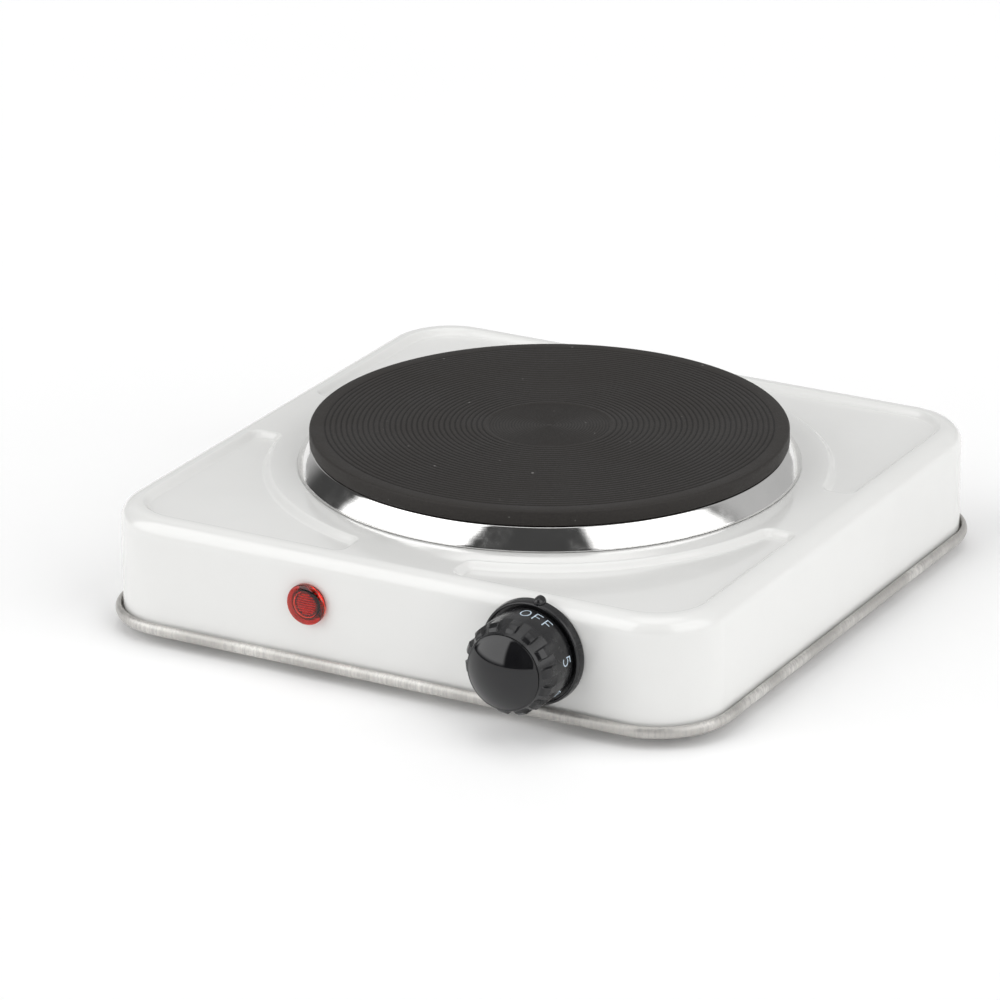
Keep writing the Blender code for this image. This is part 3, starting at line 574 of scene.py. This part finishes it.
def make_shell():
    bm = bmesh.new()
    top = SHELL_HIGH.z
    support = 0.3 * MM
    wall = top - TOP_FILLET
    loops = [rising(rounded_square(SHELL_HALF, SHELL_CORNER), z) for z in (SHELL_LOW.z, wall - support)]
    for angle in steps_of(0, math.pi / 2, 11):
        inset = TOP_FILLET * (1 - math.cos(angle))
        height = wall + TOP_FILLET * math.sin(angle)
        loops.append(rising(rounded_square(SHELL_HALF - inset, SHELL_CORNER - inset), height))
    deck = TOP_FILLET + support
    loops.append(rising(rounded_square(SHELL_HALF - deck, SHELL_CORNER - deck), top))
    rows = loft(bm, loops)
    hole = 73.5 * MM
    centre = (PLATE.x, PLATE.y)
    lip = [(hole + support, top), (hole, top - 0.1 * MM), (hole, top - 1 * MM)]
    collars = loft(bm, [rising(circle(r, 120, centre), z) for r, z in lip])
    holes = [collars[0]]
    for sx, sy in ((1, 1), (-1, 1), (-1, -1), (1, -1)):
        press = [rising(panel_outline(sx, sy, -PANEL_SOFT - support), top)]
        for t in steps_of(0, 1, 13):
            inset = -PANEL_SOFT + t * (PANEL_DEPTH + 2 * PANEL_SOFT)
            press.append(rising(panel_outline(sx, sy, inset), top - PANEL_DEPTH * smooth(t)))
        flat = PANEL_DEPTH + PANEL_SOFT + support
        press.append(rising(panel_outline(sx, sy, flat), top - PANEL_DEPTH))
        panel = loft(bm, press)
        cap(bm, panel[-1])
        holes.append(panel[0])
    cap(bm, rows[-1], holes)
    shell = mesh_object("shell", bm)
    skin = shell.modifiers.new("sheet", "SOLIDIFY")
    skin.thickness = SHEET
    skin.offset = -1
    settle(shell)
    drills = []
    for matrix, radius in ((ON_DIAL, 5.2 * MM), (ON_LAMP, 5.3 * MM), (ON_GLAND, 6.4 * MM)):
        bore = turned([(0, -4 * MM), (radius, -4 * MM), (radius, 4 * MM), (0, 4 * MM)], 48)
        drills.append((bore, matrix))
    cut(shell, drills)
    finish(shell, "enamel", stands_for=["top_shell"])


def rim_section():
    """The tray's edge, as (distance in from its outside, height): up its rolled outside, over its lip
    and down to the tray's floor."""
    low, high = TRAY_LOW.z, TRAY_HIGH.z
    belly = (low + high) / 2
    rise = (high - low) / 2
    deep = 1.5 * MM
    outside = [(deep * (1 - math.cos(a)), belly + rise * math.sin(a)) for a in steps_of(-1.45, 1.25, 16)]
    lip = [(1.35 * MM, high), (1.7 * MM, high - 0.15 * MM), (1.85 * MM, high - 0.6 * MM)]
    return [(3.2 * MM, low), *outside, *lip, (1.9 * MM, low + 1.1 * MM), (2.3 * MM, low + 0.8 * MM)]


def slot_outline(x, y, half_length, radius):
    """A vent slot with round ends, lying along Y."""
    reach = half_length - radius
    return arc((x, y + reach), radius, 0, 180, 9) + arc((x, y - reach), radius, 180, 360, 9)


def make_tray():
    half = (TRAY_HIGH.x - TRAY_LOW.x) / 2
    corner = SHELL_CORNER + half - SHELL_HALF
    bm = bmesh.new()
    section = rim_section()
    rows = loft(bm, [rising(rounded_square(half - inset, corner - inset, 24), z) for inset, z in section])
    low, high = TRAY_LOW.z, TRAY_LOW.z + 0.8 * MM
    outlines = []
    for row in (-1, 1):
        for i in range(5):
            x = BODY.x + (i - 2) * 12 * MM
            outlines.append(slot_outline(x, BODY.y + row * 40 * MM, 17 * MM, 2 * MM))
    for corner_name in CORNERS:
        screw = middle("foot_screw_" + corner_name)
        outlines.append(circle(2.1 * MM, 24, (screw.x, screw.y)))
    slots = [loft(bm, [rising(outline, low), rising(outline, high)]) for outline in outlines]
    cap(bm, rows[0], [slot[0] for slot in slots])
    cap(bm, rows[-1], [slot[1] for slot in slots])
    finish(mesh_object("base_tray", bm), "galvanised", stands_for=["base_plate"], sharp=40)


def make_feet():
    top = TRAY_LOW.z - 0.3 * MM
    foot = [(2.1, 2.1), (4.0, 2.1), (4.2, 1.9), (4.2, 0.3), (4.5, 0), (7.2, 0), (7.6, 0.15), (7.8, 0.5)]
    foot += [(8.8, 2.4), (9.0, 2.8)]
    profile = [(r * MM, z * MM) for r, z in foot] + [(8.9 * MM, top), (2.1 * MM, top)]
    for name in CORNERS:
        screw = middle("foot_screw_" + name)
        place = Matrix.Translation((screw.x, screw.y, 0))
        rubber_foot = mesh_object("rubber_foot_" + name, turned(profile, 64), place)
        finish(rubber_foot, "rubber", stands_for=["foot_" + name])
        bolt = mesh_object("foot_bolt_" + name, turned(screw_profile(), 40), place)
        cross = [(box_bm((4 * MM, 0.8 * MM, 2 * MM)), place), (box_bm((0.8 * MM, 4 * MM, 2 * MM)), place)]
        cut(bolt, cross)
        finish(bolt, "steel", stands_for=["foot_screw_" + name])


def screw_profile():
    """A pan-head screw, head down, with a ring for each turn of its thread."""
    head = [(0, 0.4), (2.4, 0.45), (3.1, 0.7), (3.4, 1.1), (3.4, 1.6), (3.2, 1.8), (1.5, 1.8)]
    thread = []
    for i in range(17):
        foot = 2.2 + i * 0.7
        thread += [(1.35, foot), (1.7, foot + 0.35)]
    return [(r * MM, z * MM) for r, z in head + thread + [(1.2, 14.3), (0, 14.8)]]


def box_bm(size, centre=(0, 0, 0)):
    bm = bmesh.new()
    bmesh.ops.create_cube(bm, size=1, matrix=Matrix.Translation(centre) @ Matrix.Diagonal((*size, 1)))
    return bm


# ---- plate and ring ------------------------------------------------------------------------------


def grooved_top():
    """The plate's turned face from its centre out: a sunk disc with fine grooves, then wider ones."""
    top = PLATE_HIGH.z
    sunk = top - 0.35 * MM
    points = [(0, sunk)]
    for i in range(19):
        start = (FINE_START + i * FINE_PITCH) * MM
        points += [(start, sunk), (start + FINE_FLOOR * MM, sunk - 0.16 * MM), (start + 0.7 * MM, sunk)]
    points += [(19.9 * MM, sunk), (20.25 * MM, top - 0.05 * MM), (20.5 * MM, top)]
    for i in range(30):
        start = (WIDE_START + i * WIDE_PITCH) * MM
        points += [(start, top), (start + WIDE_FLOOR * MM, top - 0.26 * MM), (start + 1.0 * MM, top)]
    return points


def make_plate():
    edge = (PLATE_HIGH.x - PLATE_LOW.x) / 2
    top, low = PLATE_HIGH.z, PLATE_LOW.z
    side = top - 5 * MM
    ceiling = 47.5 * MM
    rounding = arc((edge - 0.8 * MM, top - 0.8 * MM), 0.8 * MM, 90, 0, 6)
    under = [(edge, side + 0.5 * MM), (edge - 0.4 * MM, side), (71.5 * MM, side), (71.5 * MM, low)]
    under += [(68.5 * MM, low), (68.5 * MM, ceiling), (31 * MM, ceiling), (31 * MM, low), (28 * MM, low)]
    under += [(28 * MM, ceiling), (10 * MM, ceiling), (10 * MM, low), (3.3 * MM, low)]
    under += [(3.3 * MM, 46.5 * MM)]
    profile = grooved_top() + rounding + under + [(0, 46.5 * MM)]
    plate = mesh_object("iron_plate", turned(profile, 160), Matrix.Translation((PLATE.x, PLATE.y, 0)))
    finish(plate, "cast_iron", stands_for=["hot_plate"], sharp=50)


def make_ring():
    """A drawn ring: a cone with a slight crown that leans in to a flat flange under the plate's edge."""
    outer = (RING_HIGH.x - RING_LOW.x) / 2
    seat, lip = RING_LOW.z, RING_HIGH.z
    inner, crown, sheet = 77.4 * MM, 0.22 * MM, 0.6 * MM
    wall = [(outer, seat)]
    for t in steps_of(0, 1, 14):
        lean = outer - (outer - inner) * t + crown * math.sin(math.pi * t)
        wall.append((lean, seat + 0.4 * MM + (lip - seat - 0.7 * MM) * t))
    wall += [(77.2 * MM, lip - 0.1 * MM), (76.9 * MM, lip)]
    inside = [(r - sheet, max(seat + sheet, z - sheet)) for r, z in reversed(wall[3:-2])]
    flange = [(73.2 * MM, lip), (73.2 * MM, lip - sheet)]
    foot = [(75.5 * MM, seat + sheet), (75.5 * MM, seat)]
    profile = wall + flange + inside + foot
    ring = mesh_object("chrome_ring", turned(profile, 192), Matrix.Translation((PLATE.x, PLATE.y, 0)))
    finish(ring, "stainless", stands_for=["trim_ring"], sharp=45)


# ---- dial ----------------------------------------------------------------------------------------


def clockwise(radius, degrees, height):
    """A point on the dial's face: degrees clockwise from its top."""
    angle = math.radians(degrees)
    return Vector((radius * math.sin(angle), radius * math.cos(angle), height))


def notch_share(degrees):
    """1 on the floor of a notch between ribs, 0 on a rib, and in between on its sides."""
    period = 360 / RIBS
    off = abs((degrees - NOTCH_AT + period / 2) % period - period / 2)
    return 1 - smooth((off - 5.3) / 2.1)


def knob_rows():
    """The knob's outside as (height, radius of a rib, radius of a notch's floor), in mm."""
    ribs = [(3.6, 3.4), (3.6, 14.0), (3.6, 14.7), (3.7, 15.0), (3.95, 15.1), (4.4, 15.1), (8.5, 15.06)]
    ribs += [(12.9, 15.03), (13.2, 15.0), (13.5, 15.0), (14.5, 15.0), (15.5, 15.0), (16.3, 15.0)]
    ribs += [(16.6, 14.98), (16.8, 14.9), (17.1, 14.72), (17.7, 14.32), (18.15, 14.02), (18.35, 13.86)]
    ribs += [(18.5, 13.64), (18.75, 13.2), (18.95, 12.87), (19.05, 12.78), (19.5, 12.6), (19.85, 12.46)]
    ribs += [(19.96, 12.38), (20.0, 12.2)]
    slope = (14.95 - 12.8) / (19.0 - 13.2)
    return [(height, rib, min(rib, 14.95 - slope * (height - 13.2))) for height, rib in ribs]


def make_knob():
    offsets = (0, 2.6, 5.0, 5.35, 5.7, 6.0, 6.35, 6.7, 7.0, 7.35, 7.7, 10.2)
    period = 360 / RIBS
    spread = sorted({*offsets, *(-o for o in offsets), period / 2})
    turns = [NOTCH_AT + rib * period + offset for rib in range(RIBS) for offset in spread]
    loops = [[clockwise(BORE, turn, BORE_END) for turn in turns]]
    for height, rib, floor in knob_rows():
        radii = [rib + (floor - rib) * notch_share(turn) for turn in turns]
        loops.append([clockwise(r * MM, turn, height * MM) for turn, r in zip(turns, radii)])
    loops.append([clockwise(SOCKET, turn, KNOB_FRONT) for turn in turns])
    loops.append([clockwise(SOCKET, turn, SOCKET_FLOOR) for turn in turns])
    bm = bmesh.new()
    rows = loft(bm, loops)
    fan(bm, rows[0], (0, 0, BORE_END))
    fan(bm, rows[-1], (0, 0, SOCKET_FLOOR))
    knob = mesh_object("ribbed_knob", bm, ON_DIAL)
    finish(knob, "black_satin", "dial", ["knob"], sharp=38)


def make_cap():
    reach = DIAL.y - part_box("knob_cap")[0].y
    foot, base = 11.9 * MM, 20.7 * MM
    rise = reach - base
    ball = (foot * foot + rise * rise) / (2 * rise)
    dome = [(r, reach - ball + math.sqrt(ball * ball - r * r)) for r in steps_of(foot, 0, 24)]
    stub = [(0, 17.2), (5.0, 17.2), (5.0, 20.3), (12.0, 20.3), (12.2, 20.36), (12.3, 20.45)]
    rim = [(r * MM, z * MM) for r, z in stub + [(12.26, 20.56), (12.12, 20.64)]]
    button = mesh_object("domed_cap", turned(rim + dome, 128), ON_DIAL)
    finish(button, "black_gloss", "dial", ["knob_cap"], sharp=50)


def make_bezel():
    ring = [(17.2, 0.3), (17.2, 0.9), (17.05, 2.2), (16.9, 3.0), (16.75, 3.35), (16.5, 3.55), (16.25, 3.6)]
    ring += [(16.05, 3.5), (15.95, 3.2), (15.9, 2.4), (3.6, 2.4), (3.6, 1.8), (15.7, 1.8), (15.9, 0.3)]
    bezel = mesh_object("dial_ring", turned([(r * MM, z * MM) for r, z in ring], 128), ON_DIAL)
    nub = [(0, 0.3), (1.8, 0.3), (1.75, 1.8), (1.55, 2.7), (1.2, 3.2), (0.7, 3.5), (0, 3.6)]
    bump = turned([(r * MM, z * MM) for r, z in nub], 40)
    where = ON_DIAL @ Matrix.Translation(clockwise(17.1 * MM, POINTER_AT, 0))
    cut(bezel, [(bump, where)], "UNION")
    well = [(0, 2.6), (15.95, 2.6), (15.98, 3.3), (16.1, 4.6), (0, 4.6)]
    cut(bezel, [(turned([(r * MM, z * MM) for r, z in well], 128), ON_DIAL)])
    finish(bezel, "black_satin", stands_for=["dial_bezel"], sharp=40)


def glyph(letter):
    """A letter's strokes in a box one unit high, and its width."""
    bowl = arc((0.34, 0.33), 0.33, 118, -140, 14)
    shapes = {
        "O": ([[(0.37 + 0.37 * x, 0.5 + 0.5 * y) for x, y in circle(1, 26)]], 0.74),
        "F": ([[(0, 0), (0, 1), (0.54, 1)], [(0, 0.52), (0.46, 0.52)]], 0.54),
        "1": ([[(0.0, 0.74), (0.28, 1), (0.28, 0)]], 0.4),
        "2": ([[*arc((0.31, 0.69), 0.31, 165, -35, 12), (0, 0), (0.66, 0)]], 0.66),
        "3": ([arc((0.3, 0.745), 0.255, 150, -90, 12), arc((0.3, 0.26), 0.28, 90, -150, 12)], 0.62),
        "4": ([[(0.5, 0), (0.5, 1), (0, 0.3), (0.7, 0.3)]], 0.7),
        "5": ([[(0.6, 1), (0.12, 1), (0.08, 0.5)], bowl], 0.66),
    }
    return shapes[letter]


def skirt_point(across, up, degrees):
    """A point of the lettering on the knob's skirt. Letters stand with their feet towards the grip."""
    return clockwise(SKIRT, degrees + math.degrees(across / SKIRT), LETTER_MIDDLE - up)


def stroke(bm, points, width, closed, place):
    """A ribbon of even width along a path, mapped by place."""
    path = [Vector(p) for p in points]
    count = len(path)
    rails = []
    for i, here in enumerate(path):
        before = path[i - 1] if i or closed else here
        after = path[(i + 1) % count] if i < count - 1 or closed else here
        ways = [(b - a).normalized() for a, b in ((before, here), (here, after)) if (b - a).length > 0]
        along = sum(ways, Vector((0, 0))).normalized()
        across = Vector((-along.y, along.x))
        stretch = 1 / max(0.5, across.dot(Vector((-ways[0].y, ways[0].x))))
        rails.append((here + across * width / 2 * stretch, here - across * width / 2 * stretch))
    verts = [[bm.verts.new(place(*point)) for point in rail] for rail in rails]
    pairs = zip(verts, verts[1:] + verts[:1] if closed else verts[1:])
    for (a, b), (c, d) in pairs:
        bm.faces.new((a, b, d, c))


def make_lettering():
    tall, thick, space = 4.0 * MM, 0.34 * MM, 1.6 * MM
    for word, degrees in MARKS:
        bm = bmesh.new()
        widths = [glyph(letter)[1] * tall for letter in word]
        start = -(sum(widths) + space * (len(word) - 1)) / 2
        for letter, width in zip(word, widths):
            for points in glyph(letter)[0]:
                scaled = [(start + x * tall, (y - 0.5) * tall) for x, y in points]
                fine = subdivided(scaled, 0.5 * MM, letter == "O")
                stroke(bm, fine, thick, letter == "O", lambda x, y: skirt_point(x, y, degrees))
            start += width + space
        bmesh.ops.remove_doubles(bm, verts=bm.verts, dist=1e-6)
        mark = mesh_object("mark_" + word, bm, ON_DIAL)
        ink = mark.modifiers.new("ink", "SOLIDIFY")
        ink.thickness = 0.02 * MM
        settle(mark)
        finish(mark, "black_satin", "dial", paint=INK)


def subdivided(points, longest, closed):
    """The path with points added so that no step is longer than longest."""
    ends = points + points[:1] if closed else points
    found = []
    for a, b in zip(ends, ends[1:]):
        count = max(1, math.ceil(math.dist(a, b) / longest))
        for i in range(count):
            found.append((a[0] + (b[0] - a[0]) * i / count, a[1] + (b[1] - a[1]) * i / count))
    return found if closed else [*found, points[-1]]


# ---- lamp and gland ------------------------------------------------------------------------------


def make_lamp():
    """A hollow red lens. The ribbed window inside it is made apart, in make_grille."""
    outside = [(4.7, -8.0), (4.7, 0.3), (6.6, 0.3), (6.7, 0.45), (6.7, 1.55), (6.6, 1.9), (6.3, 2.2)]
    outside += [(5.9, 2.38), (4.6, 2.62), (3.0, 2.8), (1.5, 2.88), (0, 2.9)]
    inside = [(0, 1.5), (3.9, 1.3), (4.3, 1.0), (4.3, -8.0)]
    lens = mesh_object("red_lens", turned([(r * MM, z * MM) for r, z in inside + outside], 72), ON_LAMP)
    finish(lens, "red_lens", stands_for=["lamp_lens"], sharp=40)


def make_grille():
    """The ribbed window seen through the lens: a dark ring round a disc of fine level bars."""
    backing = turned([(0, -0.4 * MM), (4.1 * MM, -0.4 * MM), (4.1 * MM, 0.3 * MM), (0, 0.3 * MM)], 48)
    window = 3.5 * MM
    grille = mesh_object("lamp_window", backing, ON_LAMP)
    bars = []
    for i in range(-4, 5):
        reach = math.sqrt(window * window - (i * BAR_PITCH) ** 2)
        bar = box_bm((2 * reach, 0.3 * MM, 0.9 * MM), (0, i * BAR_PITCH, 0.5 * MM))
        bars.append((bar, ON_LAMP))
    cut(grille, bars, "UNION")
    # This material paints shade into the gaps between the window's bars.
    finish(grille, "red_lens", paint=WINDOW_GAP_SHADED)
    ring = [(3.75, 0.35), (4.15, 0.35), (4.2, 0.45), (4.15, 0.95), (3.85, 0.95), (3.75, 0.85)]
    shade = mesh_object("lamp_shade", turned([(r * MM, z * MM) for r, z in ring], 64), ON_LAMP)
    finish(shade, "black_satin", sharp=40)


def make_gland():
    """A moulded bush with a stepped nose for the cord."""
    wall = SHEET / MM
    gland = [(3.6, -6.5), (5.3, -6.5), (5.6, -6.2), (7.9, -wall - 2.9), (8.0, -wall - 2.6)]
    gland += [(8.0, -wall - 0.3)]
    gland += [(6.1, -wall - 0.3), (6.1, 0.3), (8.0, 0.3), (8.0, 1.6), (7.8, 2.1), (7.3, 2.5), (6.7, 2.7)]
    gland += [(6.4, 2.9), (6.3, 3.5), (6.1, 3.6), (6.1, 4.0), (6.25, 4.1), (6.1, 4.9)]
    gland += [(5.8, 5.3), (5.4, 5.5), (4.1, 5.5), (3.75, 5.35), (3.6, 5.0)]
    bush = mesh_object("cord_bush", turned([(r * MM, z * MM) for r, z in gland], 72), ON_GLAND)
    finish(bush, "black_satin", stands_for=["cord_gland"], sharp=40)


# ---- studio --------------------------------------------------------------------------------------


class Sky:
    """World light as a sum of soft-edged windows of direction."""

    def __init__(self, level):
        world = bpy.data.worlds.new("studio")
        world.use_nodes = True
        bpy.context.scene.world = world
        self.tree = world.node_tree
        way = self.node("TexCoord").outputs["Generated"]
        x, y, z = self.node("SeparateXYZ", {0: way}).outputs
        front = self.maths("MULTIPLY", y, -1)
        self.azimuth = self.maths("DEGREES", self.maths("ARCTAN2", x, front))
        self.height = self.maths("DEGREES", self.maths("ARCSINE", z))
        self.light = level

    def node(self, kind, inputs=(), **settings):
        made = self.tree.nodes.new("ShaderNode" + kind)
        for setting, value in settings.items():
            setattr(made, setting, value)
        for key, value in dict(inputs).items():
            if isinstance(value, bpy.types.NodeSocket):
                self.tree.links.new(value, made.inputs[key])
            else:
                made.inputs[key].default_value = value
        return made

    def maths(self, operation, first, second=0.0):
        return self.node("Math", {0: first, 1: second}, operation=operation).outputs[0]

    def ramp(self, value, low, high):
        inputs = {"Value": value, "From Min": low, "From Max": high}
        return self.node("MapRange", inputs, interpolation_type="SMOOTHSTEP").outputs["Result"]

    def window(self, level, azimuths, heights, soft=4):
        """Adds a panel of light between two azimuths and two heights, in degrees."""
        share = None
        for value, (low, high) in ((self.azimuth, azimuths), (self.height, heights)):
            rising_edge = self.ramp(value, low - soft, low + soft)
            falling_edge = self.ramp(value, high + soft, high - soft)
            band = self.maths("MULTIPLY", rising_edge, falling_edge)
            share = self.maths("MULTIPLY", share, band) if share else band
        self.light = self.maths("ADD", self.maths("MULTIPLY", share, level), self.light)

    def finish(self):
        background = self.tree.nodes["Background"]
        background.inputs["Color"].default_value = (1, 1, 1, 1)
        self.tree.links.new(self.light, background.inputs["Strength"])


def make_studio():
    sky = Sky(0.06)
    sky.window(2.2, (-78, -12), (4, 60))
    sky.window(2.0, (50, 116), (4, 60))
    sky.window(1.5, (-200, 200), (66, 100), 6)
    sky.window(0.45, (120, 200), (-10, 66), 10)
    sky.window(0.45, (-200, -112), (-10, 66), 10)
    sky.finish()
    bm = bmesh.new()
    bmesh.ops.create_grid(bm, x_segments=1, y_segments=1, size=6)
    floor = mesh_object("floor", bm)
    paper = Paint("paper", (0.95, 0.95, 0.95), 0.9, Emission_Color=(1, 1, 1, 1), Emission_Strength=0.05)
    paper.mottle(3, 0.3, 0.7, (0.945, 0.945, 0.945), (0.955, 0.955, 0.955))
    floor.data.materials.append(paper.made)
    bpy.context.scene.view_settings.view_transform = "Standard"


def make_camera():
    """The picture's view: from the front right, a little above."""
    yaw, pitch, roll = math.radians(28.96), math.radians(21.229), -0.00487
    back = Vector((math.sin(yaw) * math.cos(pitch), -math.cos(yaw) * math.cos(pitch), math.sin(pitch)))
    level = Vector((math.cos(yaw), math.sin(yaw), 0))
    lift = back.cross(level)
    right = math.cos(roll) * level + math.sin(roll) * lift
    up = back.cross(right)
    data = bpy.data.cameras.new("camera")
    data.sensor_width = 36
    data.lens = 207.85
    data.clip_start = 0.05
    camera = bpy.data.objects.new("camera", data)
    camera.matrix_world = Matrix.Translation((0.83045, -1.52307, 0.70542)) @ Matrix(
        ((right.x, up.x, back.x, 0), (right.y, up.y, back.y, 0), (right.z, up.z, back.z, 0), (0, 0, 0, 1))
    )
    bpy.context.scene.collection.objects.link(camera)
    bpy.context.scene.camera = camera


def main():
    make_camera()
    make_studio()
    paint_frame()
    make_shell()
    make_tray()
    make_feet()
    make_plate()
    make_ring()
    make_knob()
    make_cap()
    make_bezel()
    make_lettering()
    make_lamp()
    make_grille()
    make_gland()


main()
